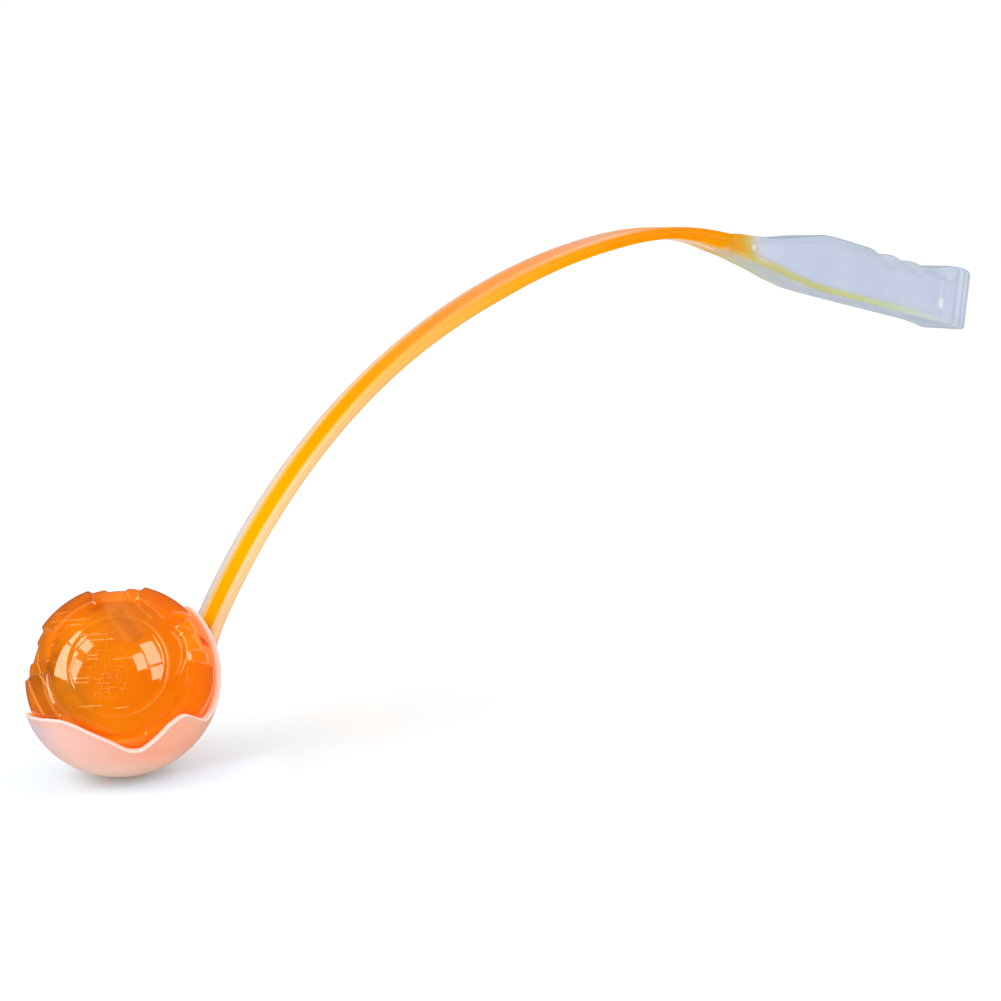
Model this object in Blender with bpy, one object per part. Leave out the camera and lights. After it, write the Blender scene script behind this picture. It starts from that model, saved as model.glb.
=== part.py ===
"""Dog ball thrower: a claw cup on a long sprung shaft with a flat grip, and the ball it holds.

The thrower's middle plane is XZ. The grip lies toward +X, the cup's mouth looks up and back
toward -X, and the cup's lowest point is on Z = 0. Lengths are in metres.
"""

import math

import bmesh
import bpy
from mathutils import Euler, Matrix, Vector

mm = 0.001

# Space left between two pieces that touch
fit_gap = 0.3 * mm

# Ball: two hollow halves with a raised tread
ball_body_radius = 29.8 * mm
tread_height = 2.2 * mm
ball_wall = 3.0 * mm
ball_turn_degrees = (66.0, 0.0, -24.0)

# Cup: a claw whose inside is a sphere round the ball, set towards the mouth in its outer sphere
cup_room = 0.8 * mm
cup_wall = 1.4 * mm
cup_inner_rise = 1.3 * mm
cup_rim_round = 0.45 * mm
cup_stub_length = 7.0 * mm
mouth_degrees = 120.0

# Shaft: a flat spring in three arcs, wider than it is thick
shaft_length = 306.0 * mm
shaft_width = 18.0 * mm
shaft_thickness = 5.4 * mm
shaft_edge_round = 0.9 * mm
shaft_foot_degrees = 23.3
shaft_steps = 44

# Core: the coloured strip let into the shaft's crown face, with a tail along the grip's floor
core_width = 8.4 * mm
core_tail_end_gap = 4.0 * mm
core_floor = 1.3 * mm

# Grip: a hollow frame closed by two side plates and an end cap
grip_length = 146.0 * mm
grip_height = 26.2 * mm
grip_width = 24.0 * mm
grip_flange = 2.8 * mm
grip_ledge = 1.0 * mm
grip_crown_round = 3.0 * mm
grip_floor_round = 1.4 * mm
grip_end_wall = 5.0 * mm
finger_count = 3
finger_depth = 1.5 * mm
plate_thickness = 1.6 * mm
plate_inset = 0.35 * mm
plate_nose_start = 11.6 * mm
plate_nose_round = 3.4 * mm
plate_steps = 13
cap_length = 22.0 * mm
cap_edge_round = 3.6 * mm
cap_tongue_width = 12.0 * mm
cap_tongue_height = 7.0 * mm
cap_lean_degrees = 4.5

# Heading of the crown face, in degrees above +X, at shares of the shaft's length
shaft_heading_shares = ((0.0, 62.8), (0.5, 29.5), (0.8, 10.8), (1.0, -10.8))

# Shaft thickness and width as shares of their greatest and root values, along its length
shaft_thickness_shares = (
    (0.0, 0.46), (0.25, 0.50), (0.38, 0.60), (0.50, 0.83), (0.60, 1.0), (0.78, 1.0),
    (0.90, 0.91), (0.95, 1.0), (1.0, 1.28),
)
shaft_width_shares = ((0.0, 1.0), (0.70, 0.95), (0.88, 0.94), (1.0, 1.06))
core_depth_share = 0.62
core_dive_share = 0.17

# Finger scallops along the frame: first valley, spacing, steep side and gentle side
finger_start_share = 0.661
finger_pitch_share = 0.114
finger_steep_share = 0.038
finger_gentle_share = 0.068

# Grip outline: distances as shares of grip and cap together, heights as shares of its height,
# measured from the crown face at the shaft's end
grip_crown_shares = (
    (0.0, 0.0), (0.018, 0.029), (0.036, 0.046), (0.071, 0.065), (0.107, 0.092), (0.149, 0.128),
    (0.214, 0.215), (0.286, 0.330), (0.321, 0.381), (0.357, 0.421), (0.393, 0.430),
    (0.536, 0.420), (0.637, 0.402), (0.786, 0.395), (0.827, 0.404), (0.845, 0.424),
    (0.878, 0.480), (0.893, 0.505), (0.929, 0.527), (0.952, 0.537), (1.0, 0.525),
)
grip_floor_shares = (
    (0.0, -0.263), (0.071, -0.302), (0.107, -0.336), (0.179, -0.401), (0.25, -0.481),
    (0.286, -0.508), (0.321, -0.538), (0.357, -0.55), (0.4, -0.558), (0.87, -0.562),
    (0.893, -0.565), (0.929, -0.582), (0.964, -0.605), (1.0, -0.61),
)
grip_half_width_shares = (
    (0.0, 0.3975), (0.10, 0.415), (0.35, 0.49), (0.45, 0.5), (0.86, 0.5), (0.91, 0.54),
    (0.95, 0.545), (1.0, 0.50),
)

# Cup rim: azimuth from the shaft's side, and angle from the cup's deepest point, in degrees.
# The claw leans to the near side, so its far side has a table of its own
cup_near_rim_degrees = (
    (0.0, 101.0), (4.0, 100.4), (8.0, 98.5), (12.0, 94.5), (15.0, 88.5), (17.5, 80.5),
    (20.0, 71.5), (23.5, 62.0), (28.0, 56.0), (36.0, 52.0), (48.0, 50.5), (64.0, 51.5),
    (71.0, 57.4), (77.0, 65.5), (82.0, 72.2), (87.0, 74.3), (93.0, 74.3), (100.0, 72.6),
    (108.0, 70.7), (115.0, 69.6), (121.0, 73.0), (127.0, 85.4), (134.0, 95.3),
    (142.0, 103.4), (150.0, 107.2), (160.0, 108.3), (172.0, 108.2), (180.0, 107.0),
)
cup_far_claw_degrees = (
    (108.0, 70.7), (114.0, 69.6), (120.0, 70.6), (126.0, 74.0), (132.0, 78.6), (138.0, 84.0),
    (144.0, 89.6), (150.0, 94.8), (156.0, 98.9), (162.0, 102.2), (168.0, 104.8), (174.0, 106.4),
    (180.0, 107.0),
)
cup_strap_degrees = 28.0
cup_strap_steps = 8
cup_petal_steps = 20
cup_depth_steps = 12

# Tread: angle from the ball's pole and share of the tread's height there. The outer band, where
# the share is 1, is broken into blocks round the ball by the second table
tread_band_degrees = (
    (12.0, 0.0), (24.0, 0.0), (30.5, 0.0), (32.0, 0.35), (39.0, 0.35), (46.0, 0.35),
    (47.5, 0.0), (50.5, 0.0), (52.5, 1.0), (62.0, 1.0), (73.0, 1.0), (83.5, 1.0), (85.5, 0.0),
)
tread_block_shares = (
    (0.0, 0.0), (0.08, 0.0), (0.105, 0.4), (0.22, 0.4), (0.25, 1.0), (0.41, 1.0), (0.59, 1.0),
    (0.75, 1.0), (0.78, 0.4), (0.895, 0.4), (0.92, 0.0),
)
tread_blocks = 5
tread_first_degrees = 19.0

# Derived sizes
tread_radius = ball_body_radius + tread_height
cup_inner_radius = tread_radius + cup_room
cup_outer_radius = cup_inner_radius + cup_wall
ball_rise = cup_inner_rise - cup_room + fit_gap
handle_length = grip_length + cap_length
grip_direction_degrees = shaft_heading_shares[-1][1]

mouth_axis = Vector((math.cos(math.radians(mouth_degrees)), 0.0, math.sin(math.radians(mouth_degrees))))
side_axis = Vector((0.0, -1.0, 0.0))
shaft_side_axis = mouth_axis.cross(side_axis)


def start_empty_scene():
    for item in list(bpy.data.objects):
        bpy.data.objects.remove(item, do_unlink=True)


def between(points, x):
    """Value at x on straight lines through (x, value) points."""
    if x <= points[0][0]:
        return points[0][1]
    for (x0, y0), (x1, y1) in zip(points, points[1:]):
        if x <= x1:
            return y0 + (y1 - y0) * (x - x0) / (x1 - x0)
    return points[-1][1]


def smooth_between(points, x):
    """Value at x on a smooth curve through (x, value) points that never overshoots them."""
    if x <= points[0][0]:
        return points[0][1]
    if x >= points[-1][0]:
        return points[-1][1]
    slopes = [(b[1] - a[1]) / (b[0] - a[0]) for a, b in zip(points, points[1:])]
    span = next(k for k in range(len(slopes)) if x <= points[k + 1][0])

    def slope_at(k):
        if k == 0 or k == len(slopes):
            return slopes[min(k, len(slopes) - 1)]
        product = slopes[k - 1] * slopes[k]
        return 2 * product / (slopes[k - 1] + slopes[k]) if product > 0 else 0.0

    (x0, y0), (x1, y1) = points[span], points[span + 1]
    width = x1 - x0
    t = (x - x0) / width
    rise = (2 * t - 3) * t * t + 1
    return (
        y0 * rise + y1 * (1 - rise)
        + slope_at(span) * width * t * (1 - t) ** 2
        - slope_at(span + 1) * width * t * t * (1 - t)
    )


# Materials

def plastic(name, colour, roughness, see_through=0.0):
    material = bpy.data.materials.new(name)
    material.use_nodes = True
    shader = material.node_tree.nodes["Principled BSDF"]
    shader.inputs["Base Color"].default_value = (*colour, 1.0)
    shader.inputs["Roughness"].default_value = roughness
    shader.inputs["Metallic"].default_value = 0.0
    shader.inputs["Transmission Weight"].default_value = see_through
    material.diffuse_color = (*colour, 1.0)
    return material


# Meshes

def make_object(name, mesh_builder, material, parent, smooth_degrees=40.0):
    """Turn a bmesh into a named object with one material, rounded where its faces nearly agree."""
    mesh = bpy.data.meshes.new(name)
    mesh_builder.to_mesh(mesh)
    mesh_builder.free()
    mesh.shade_smooth()
    mesh.set_sharp_from_angle(angle=math.radians(smooth_degrees))
    item = bpy.data.objects.new(name, mesh)
    bpy.context.scene.collection.objects.link(item)
    if material is not None:
        mesh.materials.append(material)
    item.parent = parent
    return item


def loft(rings):
    """Closed solid skinned over rings of equal count, with flat ends."""
    builder = bmesh.new()
    loops = [[builder.verts.new(point) for point in ring] for ring in rings]
    for low, high in zip(loops, loops[1:]):
        for k in range(len(low)):
            following = (k + 1) % len(low)
            builder.faces.new((low[k], low[following], high[following], high[k]))
    builder.faces.new(list(reversed(loops[0])))
    builder.faces.new(loops[-1])
    bmesh.ops.recalc_face_normals(builder, faces=builder.faces)
    return builder


def cut(item, cutter):
    """Take the cutter's shape out of the item."""
    cutter.hide_render = True
    cutter.display_type = "WIRE"
    step = item.modifiers.new("cut " + cutter.name, "BOOLEAN")
    step.operation = "DIFFERENCE"
    step.object = cutter


def join(item, addition):
    """Fuse the addition's shape to the item."""
    addition.hide_render = True
    addition.display_type = "WIRE"
    step = item.modifiers.new("join " + addition.name, "BOOLEAN")
    step.operation = "UNION"
    step.object = addition


# Shaft path, in the middle plane with the cup's centre at zero

def shaft_point(along):
    """Crown face point and heading in radians, that far along the shaft from the cup."""
    foot = math.radians(shaft_foot_degrees)
    x = cup_outer_radius * math.cos(foot)
    z = cup_outer_radius * math.sin(foot)
    heading = math.radians(shaft_heading_shares[0][1])
    if along <= 0:
        return x + along * math.cos(heading), z + along * math.sin(heading), heading
    arcs = zip(shaft_heading_shares, shaft_heading_shares[1:])
    for (share, degrees), (next_share, next_degrees) in arcs:
        start = share * shaft_length
        reach = min(along, next_share * shaft_length) - start
        if reach <= 0:
            break
        turn_rate = math.radians(next_degrees - degrees) / ((next_share - share) * shaft_length)
        start_heading = math.radians(degrees)
        heading = start_heading + turn_rate * reach
        x += (math.sin(heading) - math.sin(start_heading)) / turn_rate
        z -= (math.cos(heading) - math.cos(start_heading)) / turn_rate
    return x, z, heading


def shaft_thickness_at(along):
    return shaft_thickness * smooth_between(shaft_thickness_shares, along / shaft_length)


def shaft_width_at(along):
    return shaft_width * smooth_between(shaft_width_shares, along / shaft_length)


def on_shaft(along, across, below):
    """Point on the shaft: along it, across it, and that far below the crown face."""
    x, z, heading = shaft_point(along)
    return Vector((x + below * math.sin(heading), across, z - below * math.cos(heading)))


def shaft_ring(along):
    half = shaft_width_at(along) / 2
    deep = shaft_thickness_at(along)
    corner = min(shaft_edge_round, deep / 3)
    outline = (
        (-half, corner), (corner - half, 0.0), (half - corner, 0.0), (half, corner),
        (half, deep - corner), (half - corner, deep), (corner - half, deep), (-half, deep - corner),
    )
    return [on_shaft(along, across, below) for across, below in outline]


# Grip, measured along its own axis from the shaft's end

def on_grip(along, across, height):
    """Point on the grip: along its axis, across it, and above the shaft end's crown face."""
    x, z, heading = shaft_point(shaft_length)
    heading = math.radians(grip_direction_degrees)
    return Vector((
        x + along * math.cos(heading) - height * math.sin(heading),
        across,
        z + along * math.sin(heading) + height * math.cos(heading),
    ))


def grip_crown(along):
    return grip_height * smooth_between(grip_crown_shares, along / handle_length)


def grip_floor(along):
    return grip_height * smooth_between(grip_floor_shares, along / handle_length)


def grip_half_width(along):
    return grip_width * smooth_between(grip_half_width_shares, along / handle_length)


def finger_dip(along):
    """Depth of the finger scallops: steep on the shaft's side, gentle on the other, and fading."""
    deepest = 0.0
    for finger in range(finger_count):
        offset = along / grip_length - finger_start_share - finger * finger_pitch_share
        reach = finger_gentle_share if offset > 0 else finger_steep_share
        closeness = max(0.0, 1 - abs(offset) / reach)
        fading = 1 - finger / (2 * finger_count)
        deepest = max(deepest, finger_depth * fading * closeness ** 1.5)
    return deepest


def grip_lean(along, height):
    """The cap's end faces lean a little, so heights there shift along the grip."""
    share = min(1.0, max(0.0, (along / grip_length - 0.9) / 0.1))
    middle = (grip_crown(along) + grip_floor(along)) / 2
    return along - share * (height - middle) * math.tan(math.radians(cap_lean_degrees))


def round_box_ring(half, top, bottom, top_round, bottom_round, corner_steps=3):
    """Outline of a rounded box as (across, height) pairs."""
    outline = []
    corners = (
        (half, top, top_round, 0), (-half, top, top_round, 90),
        (-half, bottom, bottom_round, 180), (half, bottom, bottom_round, 270),
    )
    for across, height, radius, start in corners:
        centre_across = across - math.copysign(radius, across)
        centre_height = height - radius if start < 180 else height + radius
        for step in range(corner_steps + 1):
            angle = math.radians(start + 90 * step / corner_steps)
            outline.append((
                centre_across + radius * math.cos(angle),
                centre_height + radius * math.sin(angle),
            ))
    return outline


def grip_ring(along, shrink=0.0, dip=0.0):
    top = grip_crown(along) - shrink - dip
    bottom = grip_floor(along) + shrink
    swell = min(1.0, along / (0.25 * grip_length))
    top_round = shaft_edge_round + (grip_crown_round - shaft_edge_round) * swell
    floor_round = shaft_edge_round + (grip_floor_round - shaft_edge_round) * swell
    ring = round_box_ring(grip_half_width(along) - shrink, top, bottom, top_round, floor_round)
    return [on_grip(grip_lean(along, height), across, height) for across, height in ring]


def spread(start, end, count):
    return [start + (end - start) * k / count for k in range(count + 1)]


def frame_stations():
    """Places along the frame: even steps, and closer ones over the finger scallops."""
    shares = spread(0.0, finger_start_share - finger_steep_share, 16)
    for finger in range(finger_count):
        valley = finger_start_share + finger * finger_pitch_share
        shares += spread(valley - finger_steep_share, valley, 2)[1:]
        shares += spread(valley, min(valley + finger_gentle_share, 0.97), 3)[1:]
        if finger < finger_count - 1:
            shares.append(valley + finger_pitch_share - finger_steep_share)
    shares.append(1.0)
    room = grip_length - fit_gap
    return [fit_gap / 2 + room * share for share in shares]


def plate_span(along, margin, nose_start):
    """Top and bottom of a plate or window whose shaft end is round."""
    top = grip_crown(along) - margin
    bottom = grip_floor(along) + margin
    reach = along - nose_start
    if reach < plate_nose_round:
        share = math.sqrt(max(0.0, 1 - (1 - reach / plate_nose_round) ** 2))
        middle = (top + bottom) / 2
        half = share * (top - bottom) / 2
        top, bottom = middle + half, middle - half
    return top, bottom


def plate_solid(side, margin, nose_start, end, outside, inside, stagger=0.0):
    """A plate that follows the grip's side, from one depth below the side face to another."""
    nose = [nose_start + plate_nose_round * share for share in (0.04, 0.2, 0.5, 1.0)]
    stations = nose + [
        nose[-1] + (end - nose[-1]) * (step + stagger) / plate_steps for step in range(1, plate_steps)
    ] + [end]
    rings = []
    for along in stations:
        top, bottom = plate_span(along, margin, nose_start)
        half = grip_half_width(along)
        rings.append([
            on_grip(along, side * (half - outside), bottom),
            on_grip(along, side * (half - outside), top),
            on_grip(along, side * (half - inside), top),
            on_grip(along, side * (half - inside), bottom),
        ])
    return loft(rings)


# Core strip, which the shaft, the cup's stub and the grip are all moulded round

def core_solid(clearance, start, open_crown):
    """The core's shape, grown by a clearance. A grown one also breaks out of the crown face."""
    half = core_width / 2 + clearance
    crown = clearance if open_crown else 0.0
    rings = []
    for along in spread(start - clearance, shaft_length, shaft_steps):
        deep = shaft_thickness_at(along) * core_depth_share + clearance
        rings.append([
            on_shaft(along, -half, deep), on_shaft(along, -half, -crown),
            on_shaft(along, half, -crown), on_shaft(along, half, deep),
        ])
    dive = core_dive_share * grip_length
    tail_end = grip_length - grip_end_wall - core_tail_end_gap
    root_deep = shaft_thickness_at(shaft_length) * core_depth_share
    for along in spread(0.0, dive, 6)[1:] + spread(dive, tail_end + clearance, 10)[1:]:
        share = min(1.0, along / dive)
        tail_bottom = grip_floor(along) + core_floor
        tail_top = grip_floor(along) + grip_flange + grip_ledge
        bottom = tail_bottom * share - root_deep * (1 - share) - clearance
        top = tail_top * share + clearance
        rings.append([
            on_grip(along, -half, bottom), on_grip(along, -half, top),
            on_grip(along, half, top), on_grip(along, half, bottom),
        ])
    return loft(rings)


# Cup

def cup_point(radius, polar, azimuth):
    """Point round the cup: polar from its deepest point, azimuth from the shaft's side."""
    return (
        -mouth_axis * math.cos(polar)
        + shaft_side_axis * math.sin(polar) * math.cos(azimuth)
        + side_axis * math.sin(polar) * math.sin(azimuth)
    ) * radius


def cup_inside(polar):
    """Distance from the outer sphere's centre to the inside wall, at that angle."""
    across = cup_inner_rise * math.sin(polar)
    return math.sqrt(cup_inner_radius ** 2 - across ** 2) - cup_inner_rise * math.cos(polar)


def cup_rim(degrees):
    """Angle of the rim at that azimuth, which is negative on the far side."""
    if degrees < -cup_far_claw_degrees[0][0]:
        return math.radians(smooth_between(cup_far_claw_degrees, -degrees))
    return math.radians(smooth_between(cup_near_rim_degrees, abs(degrees)))


def cup_azimuths():
    """Even steps over the narrow strap that the shaft grows from, and over the petals."""
    strap = spread(0.0, cup_strap_degrees, cup_strap_steps)
    petals = spread(cup_strap_degrees, 180.0, cup_petal_steps)
    half_turn = strap + petals[1:]
    return half_turn + [-degrees for degrees in reversed(half_turn[1:-1])]


def cup_shell():
    """Claw of even wall, its rim rounded over."""
    builder = bmesh.new()
    azimuths = cup_azimuths()
    rim_step = cup_rim_round / cup_outer_radius
    outside = []
    inside = []
    rim_ring = []
    for step in range(1, cup_depth_steps + 1):
        outer_ring = []
        inner_ring = []
        for degrees in azimuths:
            azimuth = math.radians(degrees)
            rim = cup_rim(degrees)
            polar = (rim - rim_step) * step / cup_depth_steps
            outer_ring.append(builder.verts.new(cup_point(cup_outer_radius, polar, azimuth)))
            inner_ring.append(builder.verts.new(cup_point(cup_inside(polar), polar, azimuth)))
            if step == cup_depth_steps:
                middle = (cup_outer_radius + cup_inside(rim)) / 2
                rim_ring.append(builder.verts.new(cup_point(middle, rim, azimuth)))
        outside.append(outer_ring)
        inside.insert(0, inner_ring)
    loops = outside + [rim_ring] + inside
    for low, high in zip(loops, loops[1:]):
        for k in range(len(azimuths)):
            following = (k + 1) % len(azimuths)
            builder.faces.new((low[k], low[following], high[following], high[k]))
    for radius, ring in ((cup_outer_radius, loops[0]), (cup_inside(0.0), loops[-1])):
        pole = builder.verts.new(cup_point(radius, 0.0, 0.0))
        for k in range(len(azimuths)):
            builder.faces.new((pole, ring[k], ring[(k + 1) % len(azimuths)]))
    bmesh.ops.recalc_face_normals(builder, faces=builder.faces)
    return builder


def ball_shape(radius):
    builder = bmesh.new()
    bmesh.ops.create_uvsphere(builder, u_segments=48, v_segments=24, radius=radius)
    return builder


def build_cup(material, parent):
    cup = make_object("ball_cup", cup_shell(), material, parent)
    stations = (-3 * cup_wall, 0.0, cup_stub_length / 2, cup_stub_length)
    stub = make_object("stub_shape", loft([shaft_ring(along) for along in stations]), None, parent)
    inner = make_object("cup_hollow_shape", ball_shape(cup_outer_radius - cup_wall / 2), None, parent)
    cut(stub, inner)
    join(cup, stub)
    groove = core_solid(fit_gap, core_start(), True)
    cut(cup, make_object("stub_groove_shape", groove, None, parent))
    return cup


def core_start():
    """The core's end stands one gap clear of the cup's wall."""
    return 2 * fit_gap


# Shaft and core

def build_shaft(material, parent):
    stations = spread(cup_stub_length + fit_gap, shaft_length - fit_gap / 2, shaft_steps)
    shaft = make_object("shaft_shell", loft([shaft_ring(along) for along in stations]), material, parent)
    groove = core_solid(fit_gap, core_start(), True)
    cut(shaft, make_object("shaft_groove_shape", groove, None, parent))
    return shaft


def build_core(material, parent):
    return make_object("shaft_core", core_solid(0.0, core_start() + fit_gap, False), material, parent)


# Grip

def build_frame(material, parent):
    rings = [grip_ring(along, dip=finger_dip(along)) for along in frame_stations()]
    frame = make_object("grip_frame", loft(rings), material, parent)
    window_end = grip_length - grip_end_wall
    across = grip_width
    window = plate_solid(
        1, grip_flange + grip_ledge, plate_nose_start + grip_ledge, window_end,
        -across, 2 * across, 0.5,
    )
    for side, label in ((-1, "near"), (1, "far")):
        seat = plate_solid(
            side, grip_flange, plate_nose_start, window_end + fit_gap,
            -across, plate_inset + plate_thickness + fit_gap,
        )
        cut(frame, make_object("plate_seat_shape_" + label, seat, None, parent))
    cut(frame, make_object("window_shape", window, None, parent))
    cut(frame, make_object("tail_groove_shape", core_solid(fit_gap, core_start(), True), None, parent))
    cut(frame, make_object("tongue_socket_shape", tongue_solid(fit_gap, 2 * grip_end_wall), None, parent))
    return frame


def build_plates(material, parent):
    plates = []
    for side, label in ((-1, "near"), (1, "far")):
        solid = plate_solid(
            side, grip_flange + fit_gap, plate_nose_start + fit_gap, grip_length - grip_end_wall,
            plate_inset, plate_inset + plate_thickness,
        )
        plates.append(make_object("side_plate_" + label, solid, material, parent))
    return plates


def tongue_solid(clearance, reach):
    """Flat tongue of the end cap, reaching back through the frame's end wall."""
    middle = (grip_crown(grip_length) + grip_floor(grip_length)) / 2
    half = cap_tongue_width / 2 + clearance
    rings = []
    for along in (grip_length - reach, grip_length + cap_tongue_height / 2):
        rings.append([
            on_grip(along, -half, middle - cap_tongue_height / 2 - clearance),
            on_grip(along, -half, middle + cap_tongue_height / 2 + clearance),
            on_grip(along, half, middle + cap_tongue_height / 2 + clearance),
            on_grip(along, half, middle - cap_tongue_height / 2 - clearance),
        ])
    return loft(rings)


def build_cap(material, parent):
    rings = []
    body_end = handle_length - cap_edge_round
    for along in spread(grip_length + fit_gap / 2, body_end, 6):
        rings.append(grip_ring(along))
    for step in (1, 2, 3):
        angle = math.radians(90 * step / 3)
        along = body_end + cap_edge_round * math.sin(angle)
        rings.append(grip_ring(along, shrink=cap_edge_round * (1 - math.cos(angle)) * 0.8))
    cap = make_object("end_cap", loft(rings), material, parent)
    join(cap, make_object("tongue_shape", tongue_solid(0.0, grip_end_wall - fit_gap), None, parent))
    return cap


# Ball

def ball_half(side):
    """Hollow half ball on +Z, treaded outside and plain inside. Side -1 turns its blocks round."""
    builder = bmesh.new()
    columns = [
        (block + share, height)
        for block in range(tread_blocks)
        for share, height in tread_block_shares
    ]
    count = len(columns)

    def ring(radius_at, polar_degrees):
        polar = math.radians(polar_degrees)
        points = []
        for turn, height in columns:
            azimuth = side * math.radians(tread_first_degrees + 360 * turn / tread_blocks)
            radius = radius_at(height)
            flat = radius * math.sin(polar)
            points.append(builder.verts.new((
                flat * math.cos(azimuth), flat * math.sin(azimuth), radius * math.cos(polar),
            )))
        return points

    def treaded(band):
        """Radius at a block of the given height, within that band of the tread."""
        if band < 1.0:
            return lambda block: ball_body_radius + tread_height * band
        return lambda block: ball_body_radius + tread_height * block

    loops = [ring(treaded(band), polar) for polar, band in tread_band_degrees]
    inner_radius = ball_body_radius - ball_wall
    for radius in (ball_body_radius, inner_radius):
        seam_polar = math.degrees(math.acos(fit_gap / 2 / radius))
        loops.append(ring(lambda block: radius, seam_polar))
    for polar in (72.0, 54.0, 36.0, 18.0):
        loops.append(ring(lambda block: inner_radius, polar))
    for low, high in zip(loops, loops[1:]):
        for k in range(count):
            builder.faces.new((low[k], low[(k + 1) % count], high[(k + 1) % count], high[k]))
    for radius, loop in ((ball_body_radius, loops[0]), (inner_radius, loops[-1])):
        pole = builder.verts.new((0.0, 0.0, radius))
        for k in range(count):
            builder.faces.new((pole, loop[k], loop[(k + 1) % count]))
    bmesh.ops.recalc_face_normals(builder, faces=builder.faces)
    return builder


def build_ball(material, parent):
    """Ball halves about an empty on the line the ball leaves by."""
    seat = bpy.data.objects.new("ball_path", None)
    bpy.context.scene.collection.objects.link(seat)
    seat.parent = parent
    seat.location = mouth_axis * ball_rise
    seat.rotation_euler = Euler([math.radians(degrees) for degrees in ball_turn_degrees])
    front = make_object("ball_half_front", ball_half(1), material, seat, 30.0)
    back = make_object("ball_half_back", ball_half(-1), material, seat, 30.0)
    back.rotation_euler = Euler((math.pi, 0.0, 0.0))
    return front, back


def stand_on_floor(root):
    """Centre the whole part over the origin, with its lowest point on the floor."""
    bpy.context.view_layer.update()
    view = bpy.context.evaluated_depsgraph_get()
    corners = []
    for item in bpy.context.scene.objects:
        if item.type == "MESH" and not item.hide_render:
            shape = item.evaluated_get(view)
            corners += [item.matrix_world @ vertex.co for vertex in shape.data.vertices]
    low = Vector(min(corner[k] for corner in corners) for k in range(3))
    high = Vector(max(corner[k] for corner in corners) for k in range(3))
    root.matrix_world = Matrix.Translation((-(low.x + high.x) / 2, 0.0, -low.z))


def main():
    start_empty_scene()
    root = bpy.data.objects.new("thrower", None)
    bpy.context.scene.collection.objects.link(root)
    frosted_peach = plastic("frosted_peach", (0.86, 0.50, 0.38), 0.45, 0.3)
    frosted_shaft = plastic("frosted_shaft", (0.85, 0.62, 0.45), 0.45, 0.3)
    orange_core = plastic("orange_core", (0.95, 0.30, 0.01), 0.40)
    frosted_grip = plastic("frosted_grip", (0.60, 0.66, 0.74), 0.45, 0.3)
    frosted_plate = plastic("frosted_plate", (0.56, 0.61, 0.76), 0.50, 0.2)
    clear_orange = plastic("clear_orange", (1.0, 0.22, 0.01), 0.08, 0.7)
    build_cup(frosted_peach, root)
    build_shaft(frosted_shaft, root)
    build_core(orange_core, root)
    build_frame(frosted_grip, root)
    build_plates(frosted_plate, root)
    build_cap(frosted_grip, root)
    build_ball(clear_orange, root)
    stand_on_floor(root)


main()
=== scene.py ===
"""Looks of a dog ball thrower: frosted cup, striped spring shaft, pale grip and clear orange ball.

The solids come from the frame. Each piece here is a finer version of one of them, in the same
place, and the cup's is in two pieces. Lengths are in metres, and the thrower's middle plane is XZ.
"""

import math

import bmesh
import bpy
from mathutils import Euler, Matrix, Vector

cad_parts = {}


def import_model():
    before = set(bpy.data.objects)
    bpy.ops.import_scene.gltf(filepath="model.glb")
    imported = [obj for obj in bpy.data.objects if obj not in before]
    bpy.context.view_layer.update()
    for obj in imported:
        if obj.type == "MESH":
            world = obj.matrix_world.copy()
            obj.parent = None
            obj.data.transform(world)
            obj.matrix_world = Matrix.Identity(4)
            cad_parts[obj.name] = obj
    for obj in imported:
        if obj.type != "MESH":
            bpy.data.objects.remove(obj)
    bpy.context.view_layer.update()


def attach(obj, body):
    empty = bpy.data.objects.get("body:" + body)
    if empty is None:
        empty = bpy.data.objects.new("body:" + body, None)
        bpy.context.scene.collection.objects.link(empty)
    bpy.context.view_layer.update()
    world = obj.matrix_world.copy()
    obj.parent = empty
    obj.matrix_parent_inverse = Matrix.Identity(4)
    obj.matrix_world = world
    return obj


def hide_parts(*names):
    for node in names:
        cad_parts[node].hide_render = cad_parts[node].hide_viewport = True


mm = 0.001

# Where the cup's centre stands, and the ball's centre above it on the mouth axis
cup_centre = Vector((-207.737, 0.0, 34.138)) * mm
ball_rise = 0.8 * mm
ball_turn_degrees = (66.0, 0.0, -24.0)

# Cup
cup_outer_radius = 34.2 * mm
cup_inner_radius = 32.8 * mm
cup_inner_rise = 1.3 * mm
cup_rim_round = 0.62 * mm
mouth_degrees = 120.0
cup_azimuth_steps = 180
cup_polar_steps = 40
cup_rim_steps = 8

# Shaft
shaft_length = 306.0 * mm
shaft_width = 18.0 * mm
shaft_thickness = 5.4 * mm
shaft_edge_round = 0.9 * mm
shaft_foot_degrees = 23.3
shaft_stub_length = 7.0 * mm
shaft_steps = 130
shaft_corner_steps = 5
seam = 0.02 * mm
weld_distance = 0.002 * mm
sharp_edge_degrees = 35.0

# Root of the shaft, from inside the cup's wall to the end of the stub
root_flare = 0.8 * mm
root_flare_power = 3
root_crown_flare_share = 0.6
root_crown_deep = 0.2 * mm
root_depth_in_cup = 0.7 * mm
root_search_start = -30.0 * mm
root_search_halvings = 30
root_steps = 16

# Core strip
core_width = 8.4 * mm
core_depth_share = 0.62
core_start = 0.9 * mm
core_floor = 1.3 * mm
core_tail_end = 137.0 * mm
core_dive = 24.8 * mm
core_edge_round = 0.25 * mm
core_corner_steps = 3
core_tail_steps = 40

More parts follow.
